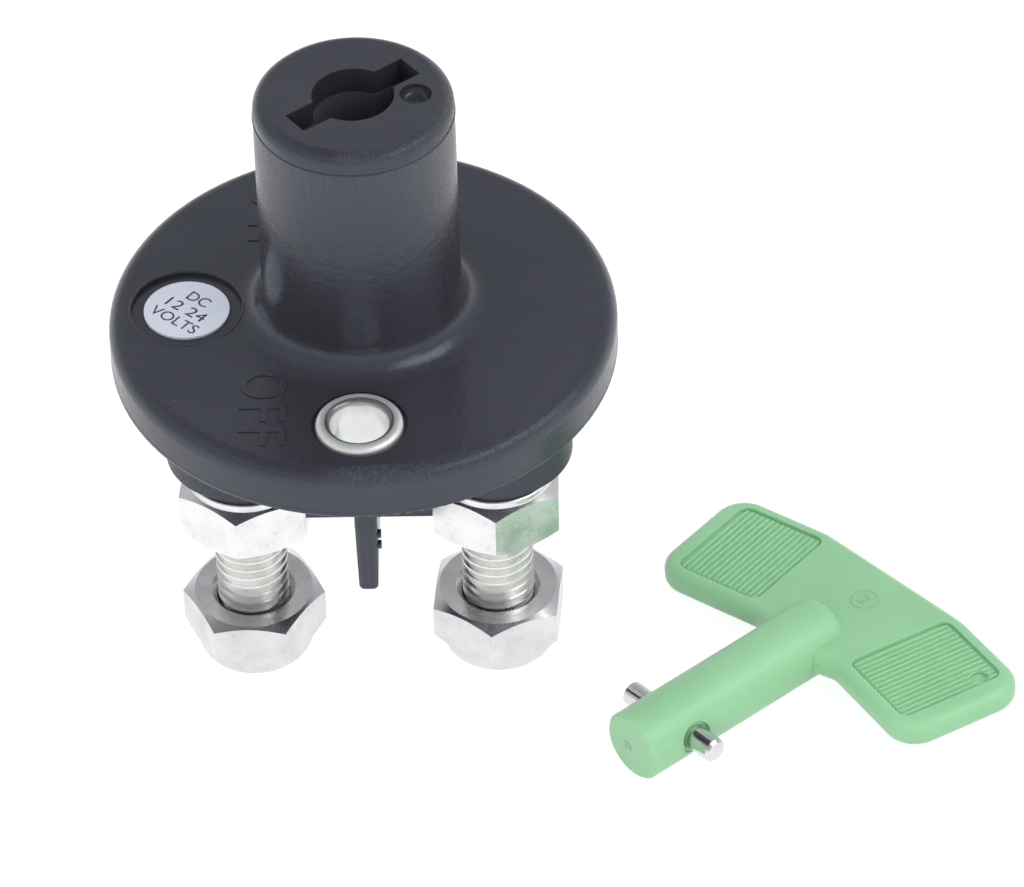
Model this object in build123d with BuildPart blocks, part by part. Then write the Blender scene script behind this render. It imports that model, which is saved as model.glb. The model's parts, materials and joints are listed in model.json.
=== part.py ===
"""Battery switch with a removable T-handle key, standing on its two lock nuts.

Millimetres. +Z runs up the neck, X runs through the two terminal studs, Y through the two fixing holes.
The origin is the centre of the flange's underside, the face that seats on a panel.
"""

import os
from math import asin, atan2, cos, hypot, radians, sin, tan

from build123d import *

os.makedirs("parts", exist_ok=True)

# ---------------------------------------------------------------- driving dimensions
# housing
flange_d = 67.0
flange_t = 7.0
flange_top_round = 2.2
flange_foot_round = 0.5
neck_d = 25.8
neck_foot_d = 26.3
neck_h = 35.5
neck_edge_round = 1.7
neck_foot_fillet = 4.0
neck_roof_t = 3.5
slot_angle = 38.0
key_hole_d = 10.6
key_wing_span = 18.4
key_wing_w = 4.0
index_hole_d = 4.1
index_hole_x = 8.0
index_hole_depth = 2.4

# fixing holes and their rolled eyelets
hole_pitch = 46.5
eyelet_bore_d = 7.6
eyelet_wall = 0.6
eyelet_lip_d = 11.4
eyelet_lip_h = 1.1
eyelet_lip_round = 0.825
eyelet_flare_d = 10.4
eyelet_flare_h = 0.8
eyelet_seat_depth = 0.45
eyelet_seat_gap = 0.5

# label
label_d = 11.3
label_t = 0.35
label_recess_d = 14.8
label_recess_depth = 0.6
label_edge = 2.9

# base cover
plate_rim = 0.95
plate_w = 33.0
plate_t = 2.5
gasket_t = 0.8
boss_d = 21.0
boss_h = 18.2
nut_boss_d = 15.4
nut_boss_h = 4.2
web_w = 18.4
web_h = 16.0
block_l = 17.0
block_w = 19.4
block_h = 22.0
chamber_w = 15.6
chamber_floor_t = 3.5
spring_well_d = 10.8
well_floor_t = 1.8
screw_x = 13.0
screw_edge = 0.6
screw_d = 2.9
screw_head_d = 5.4
screw_l = 6.0
screw_slot_w = 0.7
screw_slot_l = 3.24
screw_slot_depth = 0.8

# divider between the terminals
divider_t = 3.1
divider_w = 24.0
divider_drop = 11.8
divider_x = -0.4
divider_taper = 1.3
tenon_l = 3.0
tenon_h = 1.5
tenon_inset = 1.0
pip_d = 1.2
pip_h = 0.4
pip_y = -10.6
pip_drops = (2.2, 4.2)

# terminals
stud_pitch = 33.7
stud_d = 9.84
stud_head_w = 13.0
stud_head_corner = 1.0
stud_head_t = 2.95
stud_head_sink = 1.5
nut_af = 17.0
nut_face_d = 16.2
nut_blank_margin = 1.0
nut_h = 8.0
terminal_gap = 13.4
lock_nut_h = 10.0
lock_hex_h = 6.8
collar_d = 15.8
stud_end_gap = 1.2
stud_chamfer = 0.8
nut_mouth = 0.9
collar_round = 1.6
stud_nut_turn_left = 23.5
stud_nut_turn_right = 30.0
lock_nut_turn_left = -2.0
lock_nut_turn_right = 24.5
seal_wire_d = 1.4
seal_seat_d = 13.0
insert_foot = 0.7
insert_od = 13.2
insert_h = 2.4

# switching mechanism
travel = 3.0
contact_gap = 3.05
rotor_d = 20.4
rotor_top_gap = 0.3
rotor_shoulder_z = 16.0
rotor_foot_z = 13.0
rotor_foot_d = 18.0
socket_depth = 9.7
socket_wing_depth = 5.2
ramp_in_d = 10.0
ramp_out_d = 17.4
ramp_low = 0.6
nose_gap = 0.45
nose_w = 1.5
ramp_root = 0.5
ramp_step = 9
ramp_flat_angle = 10
ramp_dwell_angle = 12
rotor_seal_d = 1.3
seal_z = 31.0
thrust_ring_h = 1.8
plunger_gap = 1.2
plunger_disc_t = 3.0
plunger_disc_d = 19.2
spigot_d = 5.0
spigot_h = 9.0
stem_d = 6.8
stem_tail = 1.4
bridge_l = 44.0
bridge_w = 9.0
bridge_t = 2.5
bridge_corner = 2.0
contact_spring_d = 9.2
contact_wire_d = 1.1
contact_turns = 5
return_spring_d = 8.8
return_wire_d = 0.9
return_turns = 6
tip_d = 7.0
tip_h = 1.0
clip_d = 10.4
clip_t = 0.8

# key
key_shaft_d = 9.9
key_tip_chamfer = 0.4
key_pin_d = 3.4
key_pin_l = 17.6
key_pin_chamfer = 0.35
key_pin_u = 7.5
key_pin_recess_d = 4.8
key_pin_recess_depth = 0.7
key_hump_end = 35.7
key_hump_round = 2.2
key_web_near = 27.1
key_web_far = 48.4
handle_t = 4.0
handle_round = 1.6
wing_u = 37.5
wing_v = 17.9
wing_sweep = 10.8
pad_l = 16.0
pad_w = 14.3
pad_far_margin = 1.9
pad_near_margin = 1.8
pad_outer_margin = 3.0
pad_inner_margin = 1.0
pad_depth = 0.6
pad_corner = 1.6
wing_corner = 4.6
rib_count = 15
rib_w = 0.5
rib_h = 0.4
rib_end_gap = 0.4
rib_draft = 20
bend_round = 8.0
web_round = 2.0
dimple_d = 2.6
dimple_along = 5.2
dimple_out = 5.3
dimple_depth = 0.35
key_rest_x = 34.65
key_rest_y = -27.1
key_rest_angle = 39.7

# clearances
running = 0.10
seat_gap = 0.15
thread_gap = 0.05
free_gap = 0.30

# ---------------------------------------------------------------- worked-out places
flange_r = flange_d / 2
label_x = label_edge + label_recess_d / 2 - flange_r
neck_top = flange_t + neck_h
roof_z = neck_top - neck_roof_t
cavity_top = plate_t + gasket_t
plate_l = stud_pitch + boss_d + 2 * plate_rim
eyelet_r = eyelet_bore_d / 2
hole_r = eyelet_r + eyelet_wall + running
stud_x = stud_pitch / 2
neck_bore_d = rotor_d + 2 * running
chamber_floor = chamber_floor_t - web_h
well_floor = well_floor_t - block_h
head_z = chamber_floor - stud_head_sink
head_top = head_z + stud_head_t
nut_top = -boss_h - nut_boss_h
nut_foot = nut_top - nut_h
lock_top = nut_foot - terminal_gap
table_z = lock_top - lock_nut_h
collar_h = lock_nut_h - lock_hex_h
rotor_top = roof_z - rotor_top_gap
ramp_high = ramp_low + travel
nose_top = rotor_foot_z - ramp_low - nose_gap
disc_top = rotor_foot_z - ramp_high - plunger_gap
disc_foot = disc_top - plunger_disc_t
tip_foot = head_top + contact_gap
bridge_foot = tip_foot + tip_h
bridge_top = bridge_foot + bridge_t
clip_foot = bridge_foot - clip_t
nut_corner_r = nut_af / 2 / cos(radians(30))
insert_z = table_z + insert_foot
seal_major_r = stud_d / 2 + seat_gap + seal_wire_d / 2
screw_head_h = (screw_head_d - screw_d) / 2
screw_y = plate_w / 2 - screw_edge - screw_head_d / 2
tenon_y = block_w / 2 - tenon_inset - tenon_l / 2
pip_places = [(pip_y, -block_h - drop) for drop in pip_drops]
nose_l = (ramp_out_d - ramp_in_d) / 2 - 2 * free_gap
ramp_starts = (0, 180)
ramp_rise = [(a, ramp_low + travel * a / 90) for a in range(0, 91, ramp_step)]
ramp_stations = [(-ramp_flat_angle, ramp_low), *ramp_rise, (90 + ramp_dwell_angle, ramp_high)]
both_ends = [(stud_x, 0), (-stud_x, 0)]
both_holes = [(0, hole_pitch / 2), (0, -hole_pitch / 2)]
screw_places = [(x, y) for x in (-screw_x, screw_x) for y in (-screw_y, screw_y)]

# the key lies on its shaft and on the far outer corner of one wing
key_r = key_shaft_d / 2
sweep_out = radians(wing_sweep)
wing_far = pad_l / 2 + pad_far_margin
wing_near = -pad_l / 2 - pad_near_margin
wing_outer = pad_w / 2 + pad_outer_margin
wing_inner = -pad_w / 2 - pad_inner_margin
corner_across = (wing_far - wing_corner) * sin(sweep_out) + (wing_outer - wing_corner) * cos(sweep_out)
corner_reach = wing_v + corner_across + wing_corner - handle_round
corner_low = handle_t / 2 - handle_round
key_roll = asin((key_r - handle_round) / hypot(corner_reach, corner_low)) - atan2(corner_low, corner_reach)
key_turn = radians(key_rest_angle)
key_u = Vector(cos(key_turn), sin(key_turn), 0)
key_w = Vector(-sin(key_turn) * sin(key_roll), cos(key_turn) * sin(key_roll), cos(key_roll))
key_origin = Vector(key_rest_x, key_rest_y, table_z + key_r)
key_plane = Plane(origin=key_origin, x_dir=key_u, z_dir=key_w)


def key_offset(u=0.0, w=0.0):
    """A plane parallel to the handle, u along the shaft and w above the shaft's axis."""
    return Plane(origin=key_origin + key_u * u + key_w * w, x_dir=key_u, z_dir=key_w)


def key_across(u=0.0):
    """A plane square to the key's shaft, u along it from the tip."""
    return Plane(origin=key_origin + key_u * u, x_dir=key_plane.y_dir, z_dir=key_u)


def radial_plane(angle, z=0.0):
    """A plane through the Z axis at this azimuth: its x runs outwards and its y runs up."""
    a = radians(angle)
    return Plane(origin=(0, 0, z), x_dir=(cos(a), sin(a), 0), z_dir=(sin(a), -cos(a), 0))


def corner(sketch, x, y):
    """The sketch's vertex nearest to this point of its plane."""
    return sketch.vertices().sort_by_distance((x, y, 0))[0]


def finish(part, name):
    """Label one piece and write its STEP file."""
    part.label = name
    export_step(part, f"parts/{name}.step")


# ---------------------------------------------------------------- housing: flange and neck
with BuildPart() as housing:
    with BuildSketch(Plane.XZ) as housing_profile:
        with BuildLine():
            Polyline(
                (0, 0),
                (flange_r, 0),
                (flange_r, flange_t),
                (neck_foot_d / 2, flange_t),
                (neck_d / 2, neck_top),
                (0, neck_top),
                close=True,
            )
        make_face()
        fillet(corner(housing_profile, flange_r, 0), flange_foot_round)
        fillet(corner(housing_profile, flange_r, flange_t), flange_top_round)
        fillet(corner(housing_profile, neck_foot_d / 2, flange_t), neck_foot_fillet)
        fillet(corner(housing_profile, neck_d / 2, neck_top), neck_edge_round)
    revolve(axis=Axis.Z)
    # pocket for the base cover, and the neck's bore above it
    with BuildSketch():
        SlotOverall(plate_l + 2 * seat_gap, plate_w + 2 * seat_gap)
    extrude(amount=cavity_top, mode=Mode.SUBTRACT)
    with BuildSketch():
        Circle(neck_bore_d / 2)
    extrude(amount=roof_z, mode=Mode.SUBTRACT)
    # key hole with its two wings, and the blind index hole beside it
    with BuildSketch(Plane.XY.offset(roof_z)):
        Circle(key_hole_d / 2)
        Rectangle(key_wing_span, key_wing_w, rotation=slot_angle)
    extrude(amount=neck_roof_t, mode=Mode.SUBTRACT)
    with BuildSketch(Plane.XY.offset(neck_top)):
        with Locations((index_hole_x, 0)):
            Circle(index_hole_d / 2)
    extrude(amount=-index_hole_depth, mode=Mode.SUBTRACT)
    # fixing holes, with a seat above for the eyelet's lip and one below for its flare; the seats
    # and the label recess are cut upwards too, through the edge of the neck's fillet
    with BuildSketch():
        with Locations(both_holes):
            Circle(hole_r)
    extrude(amount=flange_t, mode=Mode.SUBTRACT)
    with BuildSketch(Plane.XY.offset(flange_t)):
        with Locations(both_holes):
            Circle(eyelet_lip_d / 2 + eyelet_seat_gap)
    extrude(amount=eyelet_seat_depth, both=True, mode=Mode.SUBTRACT)
    with BuildSketch():
        with Locations(both_holes):
            Circle(eyelet_flare_d / 2 + running)
    extrude(amount=eyelet_flare_h + running, mode=Mode.SUBTRACT)
    # label recess
    with BuildSketch(Plane.XY.offset(flange_t)):
        with Locations((label_x, 0)):
            Circle(label_recess_d / 2)
    extrude(amount=label_recess_depth, both=True, mode=Mode.SUBTRACT)
    # pilot holes for the cover screws
    with BuildSketch():
        with Locations(screw_places):
            Circle(screw_d / 2 + thread_gap)
    extrude(amount=screw_l + seat_gap, mode=Mode.SUBTRACT)
finish(housing.part, "housing")

# ---------------------------------------------------------------- base cover
with BuildPart() as base_cover:
    with BuildSketch():
        SlotOverall(plate_l, plate_w)
    extrude(amount=plate_t)
    with BuildSketch():
        Rectangle(stud_pitch, web_w)
    extrude(amount=-web_h)
    with BuildSketch():
        with Locations(both_ends):
            Circle(boss_d / 2)
    extrude(amount=-boss_h)
    with BuildSketch():
        Rectangle(block_l, block_w)
    extrude(amount=-block_h)
    with BuildSketch(Plane.XY.offset(-boss_h)):
        with Locations(both_ends):
            Circle(nut_boss_d / 2)
    extrude(amount=-nut_boss_h)
    # contact chamber, the plunger's mouth above it and the spring's well below it
    with BuildSketch(Plane.XY.offset(plate_t)):
        SlotOverall(stud_pitch + chamber_w, chamber_w)
    extrude(amount=chamber_floor - plate_t, mode=Mode.SUBTRACT)
    with BuildSketch(Plane.XY.offset(plate_t)):
        Circle(neck_bore_d / 2)
    extrude(amount=disc_foot - travel - free_gap - plate_t, mode=Mode.SUBTRACT)
    with BuildSketch(Plane.XY.offset(chamber_floor)):
        Circle(spring_well_d / 2)
    extrude(amount=well_floor - chamber_floor, mode=Mode.SUBTRACT)
    # square seats for the stud heads, seal seats and stud holes
    with BuildSketch(Plane.XY.offset(head_top + free_gap)):
        with Locations(both_ends):
            Rectangle(stud_head_w + 2 * seat_gap, stud_head_w + 2 * seat_gap)
    extrude(amount=head_z - head_top - free_gap, mode=Mode.SUBTRACT)
    with BuildSketch(Plane.XY.offset(head_z)):
        with Locations(both_ends):
            Circle(seal_seat_d / 2)
    extrude(amount=-seal_wire_d, mode=Mode.SUBTRACT)
    with BuildSketch(Plane.XY.offset(head_z)):
        with Locations(both_ends):
            Circle(stud_d / 2 + seat_gap)
    extrude(amount=nut_top - head_z, mode=Mode.SUBTRACT)
    # mortises for the divider
    with BuildSketch(Plane.XY.offset(-block_h)):
        with Locations((divider_x, tenon_y), (divider_x, -tenon_y)):
            Rectangle(divider_t + 2 * thread_gap, tenon_l + 2 * thread_gap)
    extrude(amount=tenon_h + thread_gap, mode=Mode.SUBTRACT)
    # countersunk screw holes
    with BuildSketch():
        with Locations(screw_places):
            Circle(screw_d / 2 + seat_gap)
    extrude(amount=plate_t, mode=Mode.SUBTRACT)
    with BuildSketch():
        with Locations(screw_places):
            Circle(screw_head_d / 2 + thread_gap)
    extrude(amount=screw_head_h, taper=45, mode=Mode.SUBTRACT)
finish(base_cover.part, "base_cover")

with BuildPart() as base_gasket:
    with BuildSketch(Plane.XY.offset(plate_t)):
        SlotOverall(plate_l, plate_w)
        SlotOverall(stud_pitch + chamber_w, chamber_w, mode=Mode.SUBTRACT)
        Circle(neck_bore_d / 2, mode=Mode.SUBTRACT)
        with Locations(screw_places):
            Circle(screw_d / 2 + seat_gap, mode=Mode.SUBTRACT)
    extrude(amount=gasket_t)
finish(base_gasket.part, "base_gasket")

with BuildPart() as cover_screws:
    with BuildSketch(Plane.XZ):
        with BuildLine():
            Polyline(
                (0, 0),
                (screw_head_d / 2, 0),
                (screw_d / 2, screw_head_h),
                (screw_d / 2, screw_l - screw_d / 2),
                (0, screw_l),
                close=True,
            )
        make_face()
    revolve(axis=Axis.Z)
    with BuildSketch():
        Rectangle(screw_slot_l, screw_slot_w)
        Rectangle(screw_slot_w, screw_slot_l)
    extrude(amount=screw_slot_depth, mode=Mode.SUBTRACT)
screw_copies = [Pos(x, y, 0) * cover_screws.part for x, y in screw_places]
finish(Compound(children=screw_copies), "cover_screws")

# ---------------------------------------------------------------- divider between the terminals
with BuildPart() as terminal_divider:
    with BuildSketch(Plane.XY.offset(-block_h)):
        with Locations((divider_x, 0)):
            RectangleRounded(divider_t, divider_w, divider_t * 0.3)
    extrude(amount=-divider_drop, taper=divider_taper)
    fillet(terminal_divider.faces().sort_by(Axis.Z)[0].edges(), divider_t * 0.22)
    with BuildSketch(Plane.XY.offset(-block_h)):
        with Locations((divider_x, tenon_y), (divider_x, -tenon_y)):
            Rectangle(divider_t, tenon_l)
    extrude(amount=tenon_h)
    # two moulded pips on one face
    with BuildSketch(Plane.YZ.offset(divider_x)):
        with Locations(*pip_places):
            Circle(pip_d / 2)
    extrude(amount=divider_t / 2 + pip_h)
finish(terminal_divider.part, "terminal_divider")

# ---------------------------------------------------------------- terminals
for side, x in (("right", stud_x), ("left", -stud_x)):
    with BuildPart() as stud:
        with BuildSketch(Plane.XY.offset(head_z)):
            with Locations((x, 0)):
                RectangleRounded(stud_head_w, stud_head_w, stud_head_corner)
        extrude(amount=stud_head_t)
        with BuildSketch(Plane.XY.offset(head_z)):
            with Locations((x, 0)):
                Circle(stud_d / 2)
        extrude(amount=table_z + stud_end_gap - head_z)
        chamfer(stud.faces().sort_by(Axis.Z)[0].edges(), stud_chamfer)
    finish(stud.part, f"stud_{side}")

    with BuildPart() as stud_seal:
        with BuildSketch(Plane.XZ):
            with Locations((seal_major_r, head_z - seal_wire_d / 2)):
                Circle(seal_wire_d / 2 - thread_gap)
        revolve(axis=Axis.Z)
    finish(Pos(x, 0, 0) * stud_seal.part, f"stud_seal_{side}")


def chamfered_blank(low, high):
    """A round blank whose two faces are chamfered at 30 degrees, to trim a hexagon with."""
    reach = nut_corner_r + nut_blank_margin
    fall = (reach - nut_face_d / 2) * tan(radians(30))
    with BuildPart() as blank:
        with BuildSketch(Plane.XZ):
            with BuildLine():
                Polyline(
                    (0, low),
                    (nut_face_d / 2, low),
                    (reach, low + fall),
                    (reach, high - fall),
                    (nut_face_d / 2, high),
                    (0, high),
                    close=True,
                )
            make_face()
        revolve(axis=Axis.Z)
    return blank.part


stud_nut_blank = chamfered_blank(nut_foot, nut_top)
lock_nut_blank = chamfered_blank(lock_top - lock_hex_h, lock_top)

for side, x, turn in (("right", stud_x, stud_nut_turn_right), ("left", -stud_x, stud_nut_turn_left)):
    with BuildPart() as stud_nut:
        with BuildSketch(Plane.XY.offset(nut_foot)):
            RegularPolygon(nut_corner_r, 6, rotation=turn)
        extrude(amount=nut_h)
        add(stud_nut_blank, mode=Mode.INTERSECT)
        with BuildSketch(Plane.XY.offset(nut_foot)):
            Circle(stud_d / 2 + thread_gap)
        extrude(amount=nut_h, mode=Mode.SUBTRACT)
    finish(Pos(x, 0, 0) * stud_nut.part, f"stud_nut_{side}")

for side, x, turn in (("right", stud_x, lock_nut_turn_right), ("left", -stud_x, lock_nut_turn_left)):
    with BuildPart() as lock_nut:
        with BuildSketch(Plane.XY.offset(lock_top)):
            RegularPolygon(nut_corner_r, 6, rotation=turn)
        extrude(amount=-lock_hex_h)
        add(lock_nut_blank, mode=Mode.INTERSECT)
        with BuildSketch(Plane.XY.offset(lock_top - lock_hex_h)):
            Circle(collar_d / 2)
        extrude(amount=-collar_h)
        fillet(lock_nut.faces().sort_by(Axis.Z)[0].edges(), collar_round)
        with BuildSketch(Plane.XY.offset(table_z)):
            Circle(stud_d / 2 + thread_gap)
        extrude(amount=lock_nut_h, mode=Mode.SUBTRACT)
        # groove of the nylon ring, and the chamfered mouth of the thread
        with BuildSketch(Plane.XY.offset(insert_z)):
            Circle(insert_od / 2)
        extrude(amount=insert_h, mode=Mode.SUBTRACT)
        with BuildSketch(Plane.XY.offset(lock_top)):
            Circle(stud_d / 2 + nut_mouth)
        extrude(amount=-nut_mouth, taper=45, mode=Mode.SUBTRACT)
    finish(Pos(x, 0, 0) * lock_nut.part, f"lock_nut_{side}")

    with BuildPart() as insert:
        with BuildSketch(Plane.XY.offset(insert_z)):
            Circle(insert_od / 2)
            Circle(stud_d / 2, mode=Mode.SUBTRACT)
        extrude(amount=insert_h)
    finish(Pos(x, 0, 0) * insert.part, f"insert_{side}")

# ---------------------------------------------------------------- eyelets and label
with BuildPart() as eyelet:
    lip_z = flange_t - eyelet_seat_depth
    tube_r = eyelet_r + eyelet_wall
    with BuildSketch(Plane.XZ) as eyelet_profile:
        with BuildLine():
            Polyline(
                (eyelet_r, thread_gap),
                (eyelet_flare_d / 2, thread_gap),
                (tube_r, eyelet_flare_h),
                (tube_r, lip_z),
                (eyelet_lip_d / 2, lip_z),
                (eyelet_lip_d / 2, lip_z + eyelet_lip_h),
                (eyelet_r, lip_z + eyelet_lip_h),
                close=True,
            )
        make_face()
        fillet(corner(eyelet_profile, eyelet_lip_d / 2, lip_z + eyelet_lip_h), eyelet_lip_round)
        fillet(corner(eyelet_profile, eyelet_r, lip_z + eyelet_lip_h), eyelet_lip_round)
    revolve(axis=Axis.Z)
finish(Pos(0, -hole_pitch / 2, 0) * eyelet.part, "eyelet_front")
finish(Pos(0, hole_pitch / 2, 0) * eyelet.part, "eyelet_rear")

with BuildPart() as label_disc:
    with BuildSketch(Plane.XY.offset(flange_t - label_recess_depth)):
        with Locations((label_x, 0)):
            Circle(label_d / 2)
    extrude(amount=label_t)
finish(label_disc.part, "label_disc")

# ---------------------------------------------------------------- cam rotor in the neck
with BuildPart() as cam_rotor:
    with BuildSketch(Plane.XY.offset(rotor_shoulder_z)):
        Circle(rotor_d / 2)
    extrude(amount=rotor_top - rotor_shoulder_z)
    with BuildSketch(Plane.XY.offset(rotor_foot_z)):
        Circle(rotor_foot_d / 2)
    extrude(amount=rotor_shoulder_z - rotor_foot_z)
    # socket for the key's shaft and the wings for its cross pin
    with BuildSketch(Plane.XY.offset(rotor_top)):
        Circle(key_hole_d / 2)
    extrude(amount=-socket_depth, mode=Mode.SUBTRACT)
    with BuildSketch(Plane.XY.offset(rotor_top)):
        Rectangle(key_wing_span, key_wing_w, rotation=slot_angle)
    extrude(amount=-socket_wing_depth, mode=Mode.SUBTRACT)
    # groove for the seal and the bore that guides the plunger's spigot
    with BuildSketch(Plane.XY.offset(seal_z - rotor_seal_d / 2)):
        Circle(rotor_d / 2)
        Circle(rotor_d / 2 - rotor_seal_d, mode=Mode.SUBTRACT)
    extrude(amount=rotor_seal_d, mode=Mode.SUBTRACT)
    with BuildSketch(Plane.XY.offset(rotor_foot_z)):
        Circle(spigot_d / 2 + running)
    extrude(amount=disc_top + spigot_h + free_gap - rotor_foot_z, mode=Mode.SUBTRACT)
    # two helical ramps, half a turn apart: a short flat, a quarter turn of rise and a dwell
    for start in ramp_starts:
        for angle, depth in ramp_stations:
            with BuildSketch(radial_plane(start + angle, rotor_foot_z)):
                with Locations((ramp_in_d / 2, ramp_root)):
                    Rectangle(
                        (ramp_out_d - ramp_in_d) / 2, depth + ramp_root, align=(Align.MIN, Align.MAX)
                    )
        loft(ruled=True)
finish(cam_rotor.part, "cam_rotor")

with BuildPart() as rotor_seal:
    with BuildSketch(Plane.XZ):
        with Locations((rotor_d / 2 - rotor_seal_d / 2, seal_z)):
            Circle(rotor_seal_d / 2 - thread_gap)
    revolve(axis=Axis.Z)
finish(rotor_seal.part, "rotor_seal")

with BuildPart() as thrust_ring:
    with BuildSketch(Plane.XY.offset(rotor_shoulder_z - running)):
        Circle(neck_bore_d / 2)
        Circle(rotor_foot_d / 2 + free_gap, mode=Mode.SUBTRACT)
    extrude(amount=-thrust_ring_h)
finish(thrust_ring.part, "thrust_ring")

# ---------------------------------------------------------------- plunger and contact bridge
with BuildPart() as plunger:
    with BuildSketch(Plane.XY.offset(disc_foot)):
        Circle(plunger_disc_d / 2)
    extrude(amount=plunger_disc_t)
    with BuildSketch(Plane.XY.offset(disc_top)):
        Circle(spigot_d / 2)
    extrude(amount=spigot_h)
    with BuildSketch(Plane.XY.offset(disc_foot)):
        Circle(stem_d / 2)
    extrude(amount=clip_foot - stem_tail - disc_foot)
    # two noses that run under the rotor's ramps
    for start in ramp_starts:
        with BuildSketch(radial_plane(start, disc_top)):
            with Locations((ramp_in_d / 2 + free_gap, 0)):
                Rectangle(nose_l, nose_top - disc_top, align=(Align.MIN, Align.MIN))
        extrude(amount=nose_w / 2, both=True)
finish(plunger.part, "plunger")

with BuildPart() as contact_bridge:
    with BuildSketch(Plane.XY.offset(bridge_foot)):
        RectangleRounded(bridge_l, bridge_w, bridge_corner)
        Circle(stem_d / 2 + running, mode=Mode.SUBTRACT)
    extrude(amount=bridge_t)
finish(contact_bridge.part, "contact_bridge")

with BuildPart() as contact_tips:
    with BuildSketch(Plane.XY.offset(bridge_foot)):
        with Locations(both_ends):
            Circle(tip_d / 2)
    extrude(amount=-tip_h)
finish(contact_tips.part, "contact_tips")

with BuildPart() as bridge_clip:
    with BuildSketch(Plane.XY.offset(bridge_foot)):
        Circle(clip_d / 2)
        Circle(stem_d / 2, mode=Mode.SUBTRACT)
    extrude(amount=-clip_t)
finish(bridge_clip.part, "bridge_clip")


def coil_spring(foot, top, mean_d, wire_d, turns, name):
    """A round-wire compression spring between two heights, with wire centres half a wire inside."""
    rise = top - foot - wire_d
    with BuildPart() as spring:
        with BuildLine():
            path = Helix(pitch=rise / turns, height=rise, radius=mean_d / 2, center=(0, 0, foot + wire_d / 2))
        with BuildSketch(Plane(origin=path @ 0, x_dir=(1, 0, 0), z_dir=path % 0)):
            Circle(wire_d / 2)
        sweep(path=path, is_frenet=True)
    finish(spring.part, name)


coil_spring(bridge_top, disc_foot, contact_spring_d, contact_wire_d, contact_turns, "contact_spring")
coil_spring(well_floor, clip_foot, return_spring_d, return_wire_d, return_turns, "return_spring")

# ---------------------------------------------------------------- key
def wing_point(along, out):
    """A point of the right-hand wing, along its ribs and outwards from its middle."""
    u = wing_u + along * cos(sweep_out) - out * sin(sweep_out)
    v = wing_v + along * sin(sweep_out) + out * cos(sweep_out)
    return (u, v)


far_outer = wing_point(wing_far, wing_outer)
near_outer = wing_point(wing_near, wing_outer)
near_inner = wing_point(wing_near, wing_inner)
bend_out = (wing_u + wing_far * cos(sweep_out) - key_web_far) / sin(sweep_out)
far_bend = wing_point(wing_far, bend_out)
dimple_place = wing_point(dimple_along, dimple_out)
half_outline = [far_bend, far_outer, near_outer, near_inner]
full_outline = [*half_outline, (key_web_near, 0), *[(u, -v) for u, v in reversed(half_outline)]]

with BuildPart() as key_handle:
    with BuildSketch(key_offset(w=-handle_t / 2)) as handle_outline:
        with BuildLine():
            Polyline(*full_outline, close=True)
        make_face()
        for side in (1, -1):
            for u, v in (far_outer, near_outer):
                fillet(corner(handle_outline, u, side * v), wing_corner)
            fillet(corner(handle_outline, far_bend[0], side * far_bend[1]), bend_round)
            fillet(corner(handle_outline, near_inner[0], side * near_inner[1]), web_round)
    extrude(amount=handle_t)
    across_faces = key_handle.faces().sort_by(Axis(key_origin, key_w))
    fillet(across_faces[0].edges() + across_faces[-1].edges(), handle_round)
    # ribbed pads sunk into both faces of each wing, and one round mark
    for face in (1, -1):
        for wing in (1, -1):
            pad_place = Location((wing_u, wing * wing_v), wing * wing_sweep)
            with BuildSketch(key_offset(w=face * handle_t / 2)):
                with Locations(pad_place):
                    RectangleRounded(pad_l, pad_w, pad_corner)
            extrude(amount=-face * pad_depth, mode=Mode.SUBTRACT)
            with BuildSketch(key_offset(w=face * (handle_t / 2 - pad_depth))):
                with Locations(pad_place):
                    with GridLocations(0, pad_w / (rib_count + 1), 1, rib_count):
                        Rectangle(pad_l - 2 * rib_end_gap, rib_w)
            extrude(amount=face * rib_h, taper=rib_draft)
    with BuildSketch(key_offset(w=handle_t / 2 - pad_depth + rib_h)):
        with Locations((dimple_place[0], -dimple_place[1])):
            Circle(dimple_d / 2)
    extrude(amount=-rib_h - dimple_depth, mode=Mode.SUBTRACT)

with BuildPart() as key_body:
    with BuildSketch(key_across()):
        Circle(key_r)
    # the shaft runs on over both faces of the handle to a rounded end
    extrude(amount=key_hump_end)
    fillet(key_body.faces().sort_by(Axis(key_origin, key_u))[-1].edges(), key_hump_round)
    chamfer(key_body.faces().sort_by(Axis(key_origin, key_u))[0].edges(), key_tip_chamfer)
    add(key_handle.part)
    # hole for the cross pin, opened out at both ends
    with BuildSketch(Plane(key_origin + key_u * key_pin_u, x_dir=key_u, z_dir=key_plane.y_dir)):
        Circle(key_pin_d / 2 + thread_gap)
    extrude(amount=key_shaft_d, both=True, mode=Mode.SUBTRACT)
    for side in (1, -1):
        outward = key_plane.y_dir * side
        recess_floor = key_origin + key_u * key_pin_u + outward * (key_r - key_pin_recess_depth)
        with BuildSketch(Plane(recess_floor, x_dir=key_u, z_dir=outward)):
            Circle(key_pin_recess_d / 2)
        extrude(amount=key_r, mode=Mode.SUBTRACT)
finish(key_body.part, "key_body")

with BuildPart() as key_pin:
    with BuildSketch(Plane(key_origin + key_u * key_pin_u, x_dir=key_u, z_dir=key_plane.y_dir)):
        Circle(key_pin_d / 2)
    extrude(amount=key_pin_l / 2, both=True)
    chamfer(key_pin.edges().filter_by(GeomType.CIRCLE), key_pin_chamfer)
finish(key_pin.part, "key_pin")
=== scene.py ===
"""Looks of the battery switch: materials, threads, letters, label print, floor, light and camera.

Metres, in the frame of the CAD: +Z up the neck, X through the studs, Y through the fixing holes.
"""

import json
import math

import bmesh
import bpy
from mathutils import Matrix, Vector


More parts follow.
